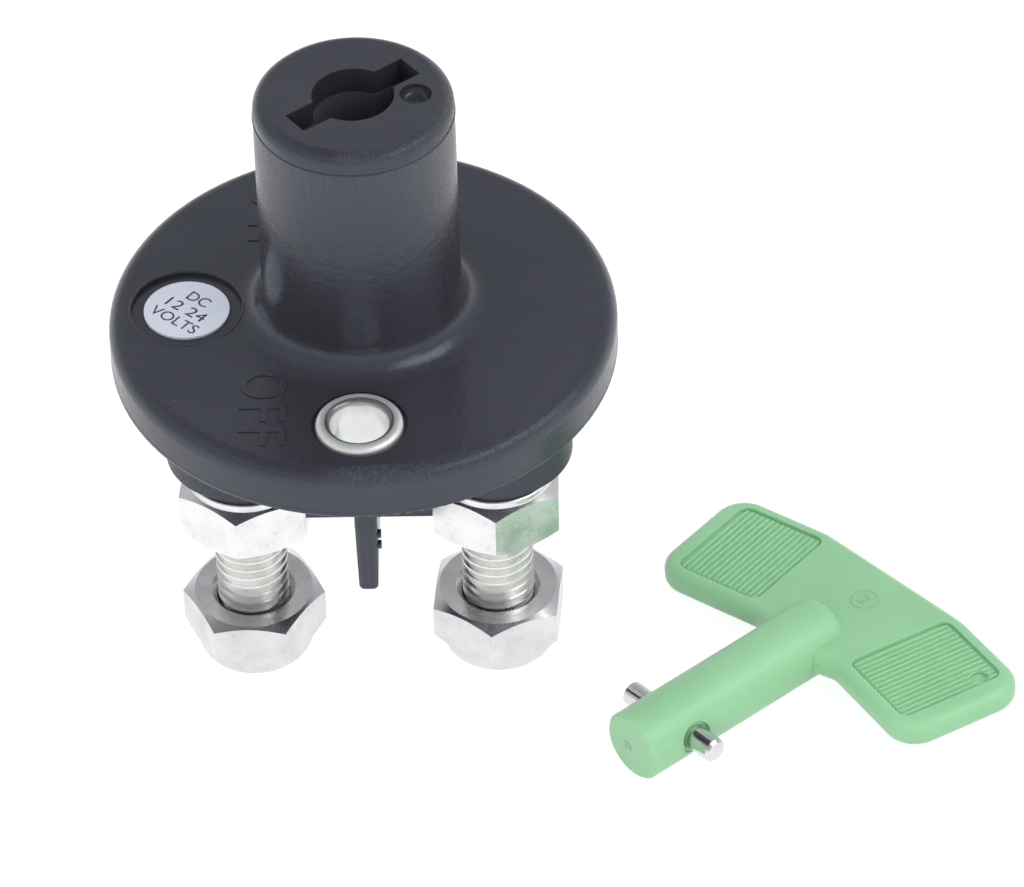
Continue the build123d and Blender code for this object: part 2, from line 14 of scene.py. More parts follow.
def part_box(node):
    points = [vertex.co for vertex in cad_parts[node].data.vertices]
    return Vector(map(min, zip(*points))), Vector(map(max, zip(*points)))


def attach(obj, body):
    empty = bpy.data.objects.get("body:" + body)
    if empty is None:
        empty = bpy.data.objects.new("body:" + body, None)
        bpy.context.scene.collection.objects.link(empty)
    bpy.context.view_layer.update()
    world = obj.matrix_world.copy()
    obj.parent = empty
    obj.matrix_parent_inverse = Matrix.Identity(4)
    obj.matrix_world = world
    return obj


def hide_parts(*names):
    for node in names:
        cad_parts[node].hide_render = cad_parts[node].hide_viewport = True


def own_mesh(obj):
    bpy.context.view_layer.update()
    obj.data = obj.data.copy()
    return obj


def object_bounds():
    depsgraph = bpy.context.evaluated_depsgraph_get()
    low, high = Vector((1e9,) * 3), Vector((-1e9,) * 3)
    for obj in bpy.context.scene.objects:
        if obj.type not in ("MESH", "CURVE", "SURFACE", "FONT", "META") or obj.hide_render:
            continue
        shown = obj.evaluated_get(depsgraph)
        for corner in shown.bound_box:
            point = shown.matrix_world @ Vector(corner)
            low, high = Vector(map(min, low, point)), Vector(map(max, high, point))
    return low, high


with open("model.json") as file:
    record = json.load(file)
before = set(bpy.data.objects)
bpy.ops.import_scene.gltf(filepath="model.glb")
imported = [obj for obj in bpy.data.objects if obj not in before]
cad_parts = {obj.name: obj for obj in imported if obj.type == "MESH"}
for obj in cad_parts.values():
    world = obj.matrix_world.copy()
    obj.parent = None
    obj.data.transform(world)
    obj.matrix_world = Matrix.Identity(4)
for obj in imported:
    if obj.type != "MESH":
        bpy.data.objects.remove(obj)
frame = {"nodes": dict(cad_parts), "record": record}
cad_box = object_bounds()
MM = 0.001

# ---------------------------------------------------------------- sizes and places of the CAD
# sizes that no box gives
neck_r = 12.9 * MM
parting_drop = 2.8 * MM
recess_r = 7.4 * MM
recess_depth = 0.6 * MM
eyelet_y = 23.25 * MM
eyelet_seam_r = 4.18 * MM

# places taken from the frame
housing_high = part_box("housing")[1]
nut_low, nut_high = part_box("stud_nut_right")
stud_low, stud_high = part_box("stud_right")
label_low, label_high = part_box("label_disc")
divider_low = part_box("terminal_divider")[0]
spring_low, spring_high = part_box("return_spring")

table_z = cad_box[0].z
neck_top = housing_high.z
parting_z = neck_top - parting_drop
flange_r = housing_high.x
flange_top = label_low.z + recess_depth
stud_x = (nut_low.x + nut_high.x) / 2
label_centre = (label_low + label_high) / 2

# colours, as linear red, green and blue
NYLON_DARK = (0.0282, 0.0276, 0.0355)
NYLON_PALE = (0.0325, 0.0320, 0.0412)
NYLON_SCRATCH_SHEEN = (0.075, 0.078, 0.092)
NYLON_CUT_GLINT = (0.30, 0.31, 0.34)
NYLON_DUST = (0.45, 0.46, 0.48)
PLATE_STAIN = (0.36, 0.36, 0.35)
PLATE_RINGS = (0.52, 0.52, 0.51)
GREEN_DEEP = (0.302, 0.588, 0.335)
GREEN_MID = (0.322, 0.610, 0.357)
GREEN_FLOW = (0.355, 0.640, 0.392)
EYELET_PALE = (0.90, 0.90, 0.90)
EYELET_DULL = (0.80, 0.80, 0.80)
EYELET_DARK_REFLECTION = (0.08, 0.08, 0.09)


# ---------------------------------------------------------------- material graphs
class Graph:
    """A material whose surface is one Principled shader, with short calls for the nodes round it.

    Noise lies mostly between 0.3 and 0.7, so most remaps of it start and end near those values.
    A noise's scale is in features per metre, or per unit of the vector that it is given.
    """

    def __init__(self, name):
        self.material = bpy.data.materials.new(name)
        self.material.use_nodes = True
        self.tree = self.material.node_tree
        self.shader = self.tree.nodes["Principled BSDF"]
        self.place = self.node("ShaderNodeTexCoord").outputs["Object"]

    def node(self, kind, inputs=(), **settings):
        """Adds a node with its settings, and links or sets its inputs."""
        made = self.tree.nodes.new(kind)
        for key, value in settings.items():
            setattr(made, key, value)
        for key, value in dict(inputs).items():
            self.feed(made.inputs[key], value)
        return made

    def feed(self, socket, value):
        """Links a socket, or sets a plain value."""
        if isinstance(value, bpy.types.NodeSocket):
            self.tree.links.new(value, socket)
        elif isinstance(value, tuple) and len(value) == 3 and socket.type == "RGBA":
            socket.default_value = (*value, 1.0)
        else:
            socket.default_value = value

    def math(self, operation, a, b=0.0):
        """One step of arithmetic on one or two values."""
        return self.node("ShaderNodeMath", {0: a, 1: b}, operation=operation).outputs[0]

    def times(self, *values):
        """The product of two or more values."""
        product = values[0]
        for value in values[1:]:
            product = self.math("MULTIPLY", product, value)
        return product

    def noise(self, scale, detail=3.0, vector=None, roughness=0.55):
        """Noise over the object's own place, or over a vector."""
        inputs = {
            "Vector": vector or self.place,
            "Scale": scale,
            "Detail": detail,
            "Roughness": roughness,
        }
        return self.node("ShaderNodeTexNoise", inputs).outputs["Fac"]

    def between(self, value, low, high, to_low=0.0, to_high=1.0):
        """Remaps low..high to to_low..to_high, held at both ends."""
        inputs = {
            "Value": value,
            "From Min": low,
            "From Max": high,
            "To Min": to_low,
            "To Max": to_high,
        }
        return self.node("ShaderNodeMapRange", inputs, clamp=True).outputs[0]

    def stretched(self, x, y, z):
        """The place scaled by a number along each axis."""
        inputs = {"Vector": self.place, "Scale": (x, y, z)}
        return self.node("ShaderNodeMapping", inputs).outputs["Vector"]

    def split(self):
        """The place's x, y and z."""
        found = self.node("ShaderNodeSeparateXYZ", {0: self.place})
        return found.outputs[0], found.outputs[1], found.outputs[2]

    def radius(self, x, y):
        """The distance of (x, y) from zero."""
        squares = self.math("ADD", self.times(x, x), self.times(y, y))
        return self.math("SQRT", squares)

    def join(self, x, y, z):
        """A vector from its three parts."""
        return self.node("ShaderNodeCombineXYZ", {0: x, 1: y, 2: z}).outputs[0]

    def blend(self, factor, low, high):
        """One colour into another by a factor."""
        # a Mix node's colour sockets come after those for numbers and vectors
        made = self.node("ShaderNodeMix", data_type="RGBA")
        self.feed(made.inputs[0], factor)
        self.feed(made.inputs[6], low)
        self.feed(made.inputs[7], high)
        return made.outputs[2]

    def bump(self, height, strength, distance, below=None):
        """A bumped normal, on top of the one below it."""
        inputs = {"Height": height, "Strength": strength, "Distance": distance}
        if below is not None:
            inputs["Normal"] = below
        return self.node("ShaderNodeBump", inputs).outputs[0]

    def surface(self, **values):
        """Sets the Principled shader's own sockets; underscores stand for spaces."""
        for key, value in values.items():
            self.feed(self.shader.inputs[key.replace("_", " ")], value)
        return self.material


def neck_scratches_and_sheen(g, r, z, azimuth):
    """Fine upright scratches on the neck, fading down from its parting line, drawn lighter high up
    as a painted sheen: pattern and extent.
    """
    per_radian = 110.0
    per_metre = 60.0
    fade_foot = neck_top - 13 * MM
    fade_top = neck_top - 6 * MM
    side = g.times(
        g.between(r, neck_r - 0.8 * MM, neck_r - 0.4 * MM),
        g.between(r, neck_r + 1.0 * MM, neck_r + 0.3 * MM),
        g.between(z, parting_z, parting_z - 0.2 * MM),
    )
    extent = g.times(side, g.between(z, fade_foot, fade_top, 0.08, 1.0))
    upright = g.join(g.times(azimuth, per_radian), g.times(z, per_metre), 0.0)
    return g.noise(1.0, 4.0, upright, 0.7), extent


def edge_cuts_and_glints(g, r, z, azimuth):
    """Short cuts across the flange's rim and the neck's top edge, on the right-hand front where the
    highlight falls; drawn pale, they are painted glints.
    """
    per_radian = 340.0
    per_metre = 1500.0
    across = g.join(g.times(azimuth, per_radian), g.times(r, per_metre), g.times(z, per_metre))
    cuts = g.noise(1.0, 4.0, across, 0.7)
    # the azimuth is 0 towards +X and a quarter turn below it at the front
    from_front = g.between(azimuth, -1.8, -1.45)
    rim_out = g.between(r, flange_r - 2.6 * MM, flange_r - 1.8 * MM)
    rim = g.times(rim_out, g.between(z, 4.4 * MM, 5.4 * MM))
    rim = g.times(rim, g.times(from_front, g.between(azimuth, -0.5, -0.85)))
    cap_out = g.between(r, neck_r - 1.8 * MM, neck_r - 1.2 * MM)
    cap = g.times(cap_out, g.between(z, neck_top - 2.6 * MM, neck_top - 1.6 * MM))
    cap = g.times(cap, g.times(from_front, g.between(azimuth, 0.9, 0.5)))
    patches = g.between(g.noise(150.0, 2.0), 0.38, 0.62, 0.3, 1.0)
    return g.times(g.between(cuts, 0.5, 0.66), g.math("MAXIMUM", rim, cap), patches)


def dust_grains(g):
    """A few grains of dust: small dots in a few of a pattern's cells."""
    cells = g.node("ShaderNodeTexVoronoi", {"Vector": g.place, "Scale": 210.0})
    draw = g.node("ShaderNodeSeparateColor", {0: cells.outputs["Color"]}).outputs[0]
    chosen = g.between(draw, 0.91, 0.93)
    return g.times(chosen, g.between(cells.outputs["Distance"], 0.030, 0.016))


def black_nylon(name, gloss_low, gloss_high):
    """Moulded black: a soft gloss over a fine mottle, with scratches, cuts and dust, and painted
    sheen and glints where the scratches and cuts are drawn pale.
    """
    g = Graph(name)
    x, y, z = g.split()
    r = g.radius(x, y)
    azimuth = g.math("ARCTAN2", y, x)
    streaks, drawn = neck_scratches_and_sheen(g, r, z, azimuth)
    scratches_and_sheen = g.times(drawn, g.between(streaks, 0.35, 0.75))
    # the cuts' mask: their real bump, and the place of the painted glints
    cut = edge_cuts_and_glints(g, r, z, azimuth)
    dust = dust_grains(g)
    cloud = g.between(g.noise(55.0, 2.0), 0.35, 0.7)
    colour = g.blend(cloud, NYLON_DARK, NYLON_PALE)
    # real scratches, drawn pale and strongest high on the neck: a painted sheen
    colour = g.blend(g.times(scratches_and_sheen, 0.6), colour, NYLON_SCRATCH_SHEEN)
    # painted glints: the cuts drawn pale where the highlight falls on the rims
    colour = g.blend(g.times(cut, 0.19), colour, NYLON_CUT_GLINT)
    colour = g.blend(g.times(dust, 0.6), colour, NYLON_DUST)
    grain = g.bump(g.noise(4200.0, 2.0), 0.08, 0.10 * MM)
    mottle = g.bump(g.noise(900.0, 4.0), 0.22, 0.22 * MM, grain)
    hair = g.noise(260.0, 5.0, g.stretched(1.0, 0.08, 1.0), 0.75)
    hairs = g.bump(hair, 0.05, 0.20 * MM, mottle)
    upright = g.bump(g.times(streaks, drawn), 0.40, 0.20 * MM, hairs)
    rough = g.between(g.noise(1100.0, 4.0), 0.3, 0.7, gloss_low, gloss_high)
    return g.surface(
        Base_Color=colour,
        Roughness=rough,
        Normal=g.bump(cut, 0.50, 0.14 * MM, upright),
        Specular_IOR_Level=0.70,
        Specular_Tint=(0.74, 0.83, 1.0),
    )


def plated(name, base, dull, turned=0.40):
    """Plated steel: faint clouding, hair scratches, and turning rings on faces square to Z."""
    g = Graph(name)
    x, y, _ = g.split()
    r = g.radius(g.math("SUBTRACT", g.math("ABSOLUTE", x), stud_x), y)
    rings_per_metre = 9000.0
    rings = g.noise(1.0, 3.0, g.join(g.times(r, rings_per_metre), 0.0, 0.0), 0.6)
    normal = g.node("ShaderNodeNewGeometry").outputs["Normal"]
    upward = g.node("ShaderNodeSeparateXYZ", {0: normal}).outputs[2]
    flat = g.between(g.math("ABSOLUTE", upward), 0.95, 0.99)
    clouds = g.noise(240.0, 5.0, roughness=0.65)
    specks = g.between(g.noise(1800.0, 3.0), 0.60, 0.74)
    stain = g.times(specks, g.between(clouds, 0.45, 0.6))
    ringed = g.times(flat, g.between(rings, 0.3, 0.7, 0.05, turned))
    colour = g.blend(g.between(clouds, 0.35, 0.7), base, dull)
    colour = g.blend(g.times(stain, 0.5), colour, PLATE_STAIN)
    colour = g.blend(ringed, colour, PLATE_RINGS)
    rough = g.between(clouds, 0.3, 0.75, 0.18, 0.40)
    hair = g.noise(900.0, 4.0, g.stretched(0.12, 1.0, 1.0), 0.7)
    hairs = g.bump(hair, 0.10, 0.08 * MM)
    shaped = g.bump(g.times(rings, flat), 0.10, 0.08 * MM, hairs)
    return g.surface(Base_Color=colour, Metallic=1.0, Roughness=rough, Normal=shaped)


def simple(name, base, spread, rough, metal=0.0, depth=0.06):
    """A plain finish: cloudy colour, uneven gloss and a fine grain."""
    g = Graph(name)
    clouds = g.noise(180.0, 4.0)
    darker = tuple(c * (1 - spread) for c in base)
    colour = g.blend(g.between(clouds, 0.35, 0.68), base, darker)
    uneven = g.between(g.noise(620.0, 4.0), 0.3, 0.7, rough * 0.85, rough * 1.15)
    hair = g.noise(420.0, 5.0, g.stretched(1.0, 0.1, 0.6), 0.75)
    hairs = g.bump(hair, depth, 0.08 * MM)
    shaped = g.bump(g.noise(1500.0, 3.0), depth, 0.10 * MM, hairs)
    return g.surface(Base_Color=colour, Metallic=metal, Roughness=uneven, Normal=shaped)


def green_plastic():
    """Green moulding that lets a little light in, and is a little paler along its flow."""
    g = Graph("green_plastic")
    clouds = g.noise(150.0, 4.0)
    flow = g.noise(90.0, 3.0, g.stretched(1.0, 1.0, 3.0))
    colour = g.blend(g.between(clouds, 0.35, 0.68), GREEN_DEEP, GREEN_MID)
    colour = g.blend(g.between(flow, 0.55, 0.75, 0.0, 0.3), colour, GREEN_FLOW)
    rough = g.between(g.noise(500.0, 4.0), 0.3, 0.7, 0.34, 0.46)
    grain = g.bump(g.noise(3000.0, 2.0), 0.06, 0.10 * MM)
    return g.surface(
        Base_Color=colour,
        Roughness=rough,
        Normal=grain,
        Subsurface_Weight=0.6,
        Subsurface_Radius=(1.0, 1.0, 1.0),
        Subsurface_Scale=1.0 * MM,
    )


def rolled_metal():
    """Eyelets: a matte rolled lip, with a thin dark line where its edge meets the bore, a painted
    reflection of the dark neck above.
    """
    g = Graph("rolled_metal")
    x, y, z = g.split()
    out = g.radius(x, g.math("SUBTRACT", g.math("ABSOLUTE", y), eyelet_y))
    clouds = g.noise(180.0, 4.0)
    colour = g.blend(g.between(clouds, 0.35, 0.68), EYELET_PALE, EYELET_DULL)
    from_seam = g.math("ABSOLUTE", g.math("SUBTRACT", out, eyelet_seam_r))
    # painted reflection: a dark ring where the lip turns into the bore, standing in for the dark
    # neck mirrored there
    line = g.between(from_seam, 0.42 * MM, 0.22 * MM)
    line = g.times(line, g.between(z, flange_top - 0.2 * MM, flange_top + 0.1 * MM))
    colour = g.blend(g.times(line, 0.82), colour, EYELET_DARK_REFLECTION)
    matte = g.between(out, eyelet_seam_r, eyelet_seam_r + 0.5 * MM, 0.18, 0.40)
    rough = g.math("ADD", matte, g.between(g.noise(620.0, 4.0), 0.3, 0.7, 0.0, 0.08))
    grain = g.bump(g.noise(1900.0, 3.0), 0.08, 0.10 * MM)
    return g.surface(Base_Color=colour, Metallic=0.78, Roughness=rough, Normal=grain)


# one finish for each material slot of the record
finishes = {
    "black_nylon": black_nylon("black_nylon", gloss_low=0.20, gloss_high=0.29),
    "seal_rubber": simple("seal_rubber", (0.02, 0.02, 0.021), spread=0.3, rough=0.7),
    "zinc_plate": plated("zinc_plate", (0.95, 0.95, 0.955), (0.85, 0.85, 0.86)),
    "tin_plate": plated("tin_plate", (0.88, 0.88, 0.87), (0.80, 0.79, 0.77)),
    "white_nylon": simple("white_nylon", (0.72, 0.72, 0.68), spread=0.06, rough=0.45),
    "bright_nickel": rolled_metal(),
    "label_foil": simple("label_foil", (0.655, 0.695, 0.80), spread=0.05, rough=0.40, depth=0.02),
    "acetal": simple("acetal", (0.078, 0.079, 0.094), spread=0.2, rough=0.45),
    "copper": simple("copper", (0.74, 0.36, 0.22), spread=0.12, rough=0.24, metal=1.0),
    "silver": simple("silver", (0.90, 0.90, 0.88), spread=0.06, rough=0.2, metal=1.0),
    "spring_wire": simple("spring_wire", (0.56, 0.56, 0.57), spread=0.1, rough=0.28, metal=1.0),
    "green_plastic": green_plastic(),
    "pin_steel": simple("pin_steel", (0.78, 0.78, 0.77), 0.08, 0.16, metal=1.0, depth=0.03),
}

# finishes of their own: the matter base cover, a darker copy of the plating that paints shade on
# the lock nuts, and the label's ink
cover_nylon = black_nylon("black_nylon_cover", gloss_low=0.42, gloss_high=0.52)
lock_zinc_shaded = plated("zinc_plate_lock_shaded", (0.80, 0.805, 0.82), (0.69, 0.695, 0.71), turned=0.12)
print_ink = simple("print_ink", (0.045, 0.046, 0.055), spread=0.1, rough=0.5)


def wear(obj, material):
    """Gives a piece one material."""
    obj.data.materials.clear()
    obj.data.materials.append(material)
    return obj


slots = {entry["node"]: entry["material_slot"] for entry in frame["record"]["subparts"]}
special = {
    "base_cover": cover_nylon,
    # the lock nuts wear the darker plating: painted shade
    "lock_nut_left": lock_zinc_shaded,
    "lock_nut_right": lock_zinc_shaded,
}
for name, obj in frame["nodes"].items():
    wear(obj, special.get(name, finishes[slots[name]]))


def add_piece(name, mesh, slot, body="switch_body"):
    """A new piece that rides on a body and wears the finish of one of the record's slots."""
    obj = bpy.data.objects.new(name, mesh)
    bpy.context.scene.collection.objects.link(obj)
    wear(obj, finishes[slot])
    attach(obj, body)
    return obj


# ---------------------------------------------------------------- studs with cut threads
thread_pitch = 1.5 * MM
thread_depth = 0.88 * MM
thread_r = 4.92 * MM
thread_columns = 72
# depth of the cut over one pitch, as shares of the thread's depth
thread_profile = [0.0, 0.0, 0.5, 1.0, 1.0, 1.0, 0.5, 0.0]
rows_per_turn = len(thread_profile)
end_chamfer = 0.8 * MM
run_out = 1.2 * MM
# the thread ends just inside the boss
thread_top = nut_high.z + 1.0 * MM
head_w = stud_high.x - stud_low.x
head_t = 2.95 * MM
head_ease = 1.0 * MM
head_steps = 5
merge_gap = 1e-7
level_gap = 1e-6


def thread_radius(row, z):
    """The radius of a row of the thread, eased out at the top and chamfered at the foot."""
    depth = thread_depth * thread_profile[row % rows_per_turn]
    cut = thread_r - depth * min(1.0, max(0.0, (thread_top - z) / run_out))
    return min(cut, thread_r - end_chamfer + (z - stud_low.z))


def thread_points(bm, x):
    """Rows of points that climb a pitch per turn, held to the stud's foot and the thread's top."""
    rows = 2 * rows_per_turn + int((thread_top - stud_low.z) / thread_pitch * rows_per_turn)
    grid = []
    for row in range(rows):
        ring = []
        for column in range(thread_columns):
            turn = column / thread_columns
            raw = stud_low.z + thread_pitch * ((row - rows_per_turn) / rows_per_turn + turn)
            z = min(thread_top, max(stud_low.z, raw))
            r = thread_radius(row, z)
            angle = 2 * math.pi * turn
            ring.append(bm.verts.new((x + r * math.cos(angle), r * math.sin(angle), z)))
        grid.append(ring)
    return grid


def skin_thread(bm, grid):
    """Faces between the rows; the last column joins the first one, one turn further up the rows."""
    for row in range(len(grid) - 1):
        for column in range(thread_columns):
            last = column + 1 == thread_columns
            step = rows_per_turn if last else 0
            if row + step + 1 >= len(grid):
                continue
            after = 0 if last else column + 1
            low = grid[row + step][after]
            high = grid[row + step + 1][after]
            bm.faces.new((grid[row][column], low, high, grid[row + 1][column]))
    bmesh.ops.remove_doubles(bm, verts=bm.verts, dist=merge_gap)
    bmesh.ops.dissolve_degenerate(bm, dist=merge_gap, edges=bm.edges)
    open_edges = [e for e in bm.edges if e.is_boundary]
    bmesh.ops.holes_fill(bm, edges=open_edges, sides=0)


def raise_shank(bm):
    """Draws the thread's top end up to the head as a plain shank."""
    ends = [f for f in bm.faces if len(f.verts) > 8]
    top_cap = [f for f in ends if f.calc_center_median().z > thread_top - level_gap]
    raised = bmesh.ops.extrude_face_region(bm, geom=top_cap)
    top_verts = [v for v in raised["geom"] if isinstance(v, bmesh.types.BMVert)]
    bmesh.ops.translate(bm, verts=top_verts, vec=(0, 0, stud_high.z - head_t - thread_top))
    bmesh.ops.delete(bm, geom=top_cap, context="FACES_ONLY")


def add_head(bm, x):
    """A square head with rounded upright edges."""
    head = bmesh.ops.create_cube(bm, size=1.0)["verts"]
    bmesh.ops.scale(bm, verts=head, vec=(head_w, head_w, head_t))
    bmesh.ops.translate(bm, verts=head, vec=(x, 0, stud_high.z - head_t / 2))
    edges = {e for v in head for e in v.link_edges}
    upright = [e for e in edges if abs(e.verts[0].co.z - e.verts[1].co.z) > head_t / 2]
    rounding = {"offset": head_ease, "segments": head_steps, "profile": 0.5}
    bmesh.ops.bevel(bm, geom=upright, affect="EDGES", **rounding)


def threaded_stud(name, x):
    """A stud with a helical thread up to just inside the boss, a plain shank and a square head."""
    mesh = bpy.data.meshes.new(name)
    bm = bmesh.new()
    skin_thread(bm, thread_points(bm, x))
    raise_shank(bm)
    add_head(bm, x)
    bmesh.ops.recalc_face_normals(bm, faces=bm.faces)
    bm.to_mesh(mesh)
    bm.free()
    for polygon in mesh.polygons:
        polygon.use_smooth = len(polygon.vertices) == 4 and abs(polygon.normal.z) < 0.9
    mesh.set_sharp_from_angle(angle=math.radians(30))
    return mesh


for side, x in (("left", -stud_x), ("right", stud_x)):
    stud = threaded_stud(f"threaded_stud_{side}", x)
    stud = add_piece(f"threaded_stud_{side}", stud, "tin_plate")
    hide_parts(f"stud_{side}")


# ---------------------------------------------------------------- moulded and printed words
def word_mesh(name, text, bevel=0.0):
    """A word as a solid mesh, x along its reading direction, with eased edges."""
    curve = bpy.data.curves.new(name, "FONT")
    curve.body = text
    curve.fill_mode = "BOTH"
    curve.bevel_depth = bevel
    curve.bevel_resolution = 2
    curve.resolution_u = 6
    curve.extrude = 0.02
    obj = bpy.data.objects.new(name, curve)
    bpy.context.scene.collection.objects.link(obj)
    bpy.context.view_layer.update()
    shown = obj.evaluated_get(bpy.context.evaluated_depsgraph_get())
    mesh = bpy.data.meshes.new_from_object(shown)
    bpy.data.objects.remove(obj)
    return mesh


def fit_word(mesh, length, height, depth):
    """Scales a word to a length, a height and a depth, centred with its foot at zero."""
    xs, ys, zs = zip(*((v.co.x, v.co.y, v.co.z) for v in mesh.vertices))
    middle = (-(min(xs) + max(xs)) / 2, -(min(ys) + max(ys)) / 2, -min(zs))
    mesh.transform(Matrix.Translation(middle))
    wide = max(xs) - min(xs)
    high = max(ys) - min(ys)
    deep = max(zs) - min(zs)
    mesh.transform(Matrix.Diagonal((length / wide, height / high, depth / deep, 1)))
    return mesh


# how far a raised mark starts below the face that it stands on
sunk = 0.02 * MM
letter_h = 6.1 * MM
letter_x = -12.55 * MM
letter_rise = 0.19 * MM
letter_bevel = 0.006
quarter_turn = Matrix.Rotation(math.radians(-90), 4, "Z")
# OFF in front and ON behind: letter, middle along Y and width, both in millimetres
letters = (
    ("O", -15.5, 5.2),
    ("F", -20.85, 3.5),
    ("F", -25.3, 3.6),
    ("O", 23.0, 5.2),
    ("N", 15.3, 3.7),
)
for index, (glyph, y, width) in enumerate(letters):
    word = word_mesh(f"letter_{index}", glyph, bevel=letter_bevel)
    fit_word(word, width * MM, letter_h, letter_rise)
    word.transform(Matrix.Translation((letter_x, y * MM, flange_top - sunk)) @ quarter_turn)
    add_piece(f"moulded_{glyph}_{index}", word, "black_nylon")

label_turn = math.radians(-38)
print_h = 1.75 * MM
print_step = 2.5 * MM
print_t = 0.02 * MM
# the label's print: words, length, and steps up from the middle row
print_rows = (("DC", 3.3 * MM, 1), ("12 24", 6.3 * MM, 0), ("VOLTS", 7.6 * MM, -1))
label_place = Matrix.Translation((label_centre.x, label_centre.y, label_high.z))
label_frame = label_place @ Matrix.Rotation(label_turn, 4, "Z")
for index, (text, length, step) in enumerate(print_rows):
    word = fit_word(word_mesh(f"print_{index}", text), length, print_h, print_t)
    word.transform(label_frame @ Matrix.Translation((0, step * print_step, 0)))
    wear(add_piece(f"label_print_{index}", word, "label_foil"), print_ink)


# ---------------------------------------------------------------- flash, washer faces, small marks
def ring_mesh(name, major, minor, z, columns=160, around=8):
    """A thin round bead round the Z axis."""
    mesh = bpy.data.meshes.new(name)
    verts = []
    for i in range(columns):
        a = 2 * math.pi * i / columns
        for j in range(around):
            b = 2 * math.pi * j / around
            r = major + minor * math.cos(b)
            verts.append((r * math.cos(a), r * math.sin(a), z + minor * math.sin(b)))
    faces = []
    for i in range(columns):
        for j in range(around):
            after, up = (i + 1) % columns, (j + 1) % around
            faces.append((i * around + j, after * around + j, after * around + up, i * around + up))
    mesh.from_pydata(verts, [], faces)
    for polygon in mesh.polygons:
        polygon.use_smooth = True
    return mesh


# the flash where the moulds met: beads just proud of the neck, and low on the flange's rim
neck_bead = {"major": neck_r + 0.02 * MM, "minor": 0.09 * MM, "z": parting_z}
flange_bead = {"major": flange_r - 0.05 * MM, "minor": 0.08 * MM, "z": 0.9 * MM}
add_piece("neck_flash", ring_mesh("neck_flash", **neck_bead), "black_nylon")
add_piece("flange_flash", ring_mesh("flange_flash", **flange_bead), "black_nylon")

seam_gap = 1e-8


def turned_mesh(name, profile, columns=96):
    """(radius, height) points turned about the Z axis; they close on themselves or on the axis."""
    mesh = bpy.data.meshes.new(name)
    bm = bmesh.new()
    rings = []
    for i in range(columns):
        a = 2 * math.pi * i / columns
        rings.append([bm.verts.new((r * math.cos(a), r * math.sin(a), z)) for r, z in profile])
    for i, ring in enumerate(rings):
        after = rings[(i + 1) % columns]
        for j in range(len(profile)):
            k = (j + 1) % len(profile)
            bm.faces.new((ring[j], after[j], after[k], ring[k]))
    bmesh.ops.remove_doubles(bm, verts=bm.verts, dist=seam_gap)
    bmesh.ops.dissolve_degenerate(bm, dist=seam_gap, edges=bm.edges)
    bmesh.ops.recalc_face_normals(bm, faces=bm.faces)
    bm.to_mesh(mesh)
    bm.free()
    for polygon in mesh.polygons:
        polygon.use_smooth = True
    mesh.set_sharp_from_angle(angle=math.radians(35))
    return mesh


# washer faces on the upper nuts, round the foot of each boss
face_r = 8.1 * MM
face_h = 1.1 * MM
face_bore = 7.73 * MM
ease = 0.12 * MM
for side, x in (("left", -stud_x), ("right", stud_x)):
    foot = nut_high.z - sunk
    crown = foot + face_h
    profile = [
        (face_bore, foot),
        (face_r, foot),
        (face_r, crown - ease),
        (face_r - ease, crown),
        (face_bore, crown),
    ]
    face = turned_mesh(f"washer_face_{side}", profile)
    face.transform(Matrix.Translation((x, 0, 0)))
    add_piece(f"washer_face_{side}", face, "zinc_plate")

# rounded lip round the label's recess, which climbs the edge of the neck's fillet
lip_r = 0.22 * MM
lip_shift = 0.12 * MM
fillet_r = 4.0 * MM
fillet_out = 17.15 * MM
lip = ring_mesh("label_lip", recess_r + lip_shift, lip_r, flange_top - lip_shift)
lip.transform(Matrix.Translation((label_centre.x, label_centre.y, 0)))
for vertex in lip.vertices:
    inside = max(0.0, fillet_out - math.hypot(vertex.co.x, vertex.co.y))
    vertex.co.z += fillet_r - math.sqrt(fillet_r ** 2 - inside ** 2)
add_piece("label_lip", lip, "black_nylon")

# dished floor of the index hole
index_x = 8.0 * MM
index_r = 2.03 * MM
index_foot = neck_top - 2.35 * MM
dish_rim = 0.55 * MM
dish_drop = 0.95 * MM
dish_steps = 8
dish_power = 8
profile = [(0, index_foot), (index_r, index_foot)]
for step in range(dish_steps + 1):
    out = 1 - step / dish_steps
    profile.append((index_r * out, neck_top - dish_rim - dish_drop * (1 - out ** dish_power)))
dish = turned_mesh("index_dish", profile)
dish.transform(Matrix.Translation((index_x, 0, 0)))
add_piece("index_dish", dish, "black_nylon")

# rib on the cover's block that carries the divider's front edge on upwards
divider_x = -0.4 * MM
divider_w = 3.1 * MM
block_front = -9.7 * MM
block_foot = -22.3 * MM
rib_top = -15.5 * MM
rib_ease = 0.7 * MM
rib = bpy.data.meshes.new("divider_rib")
bm = bmesh.new()
corners = bmesh.ops.create_cube(bm, size=1.0)["verts"]
rib_size = Vector((divider_w, block_front - divider_low.y, rib_top - block_foot))
rib_centre = Vector((divider_x, (block_front + divider_low.y) / 2, (rib_top + block_foot) / 2))
bmesh.ops.scale(bm, verts=corners, vec=rib_size)
bmesh.ops.translate(bm, verts=corners, vec=rib_centre)
in_front = [e for e in bm.edges if all(v.co.y < rib_centre.y for v in e.verts)]
eased = [e for e in in_front if any(v.co.z > rib_centre.z for v in e.verts)]
bmesh.ops.bevel(bm, geom=eased, offset=rib_ease, segments=4, affect="EDGES", profile=0.5)
bm.to_mesh(rib)
bm.free()
add_piece("divider_rib", rib, "black_nylon")

# the return spring, as a coil of round wire
spring_wire_r = 0.45 * MM
spring_turns = 6


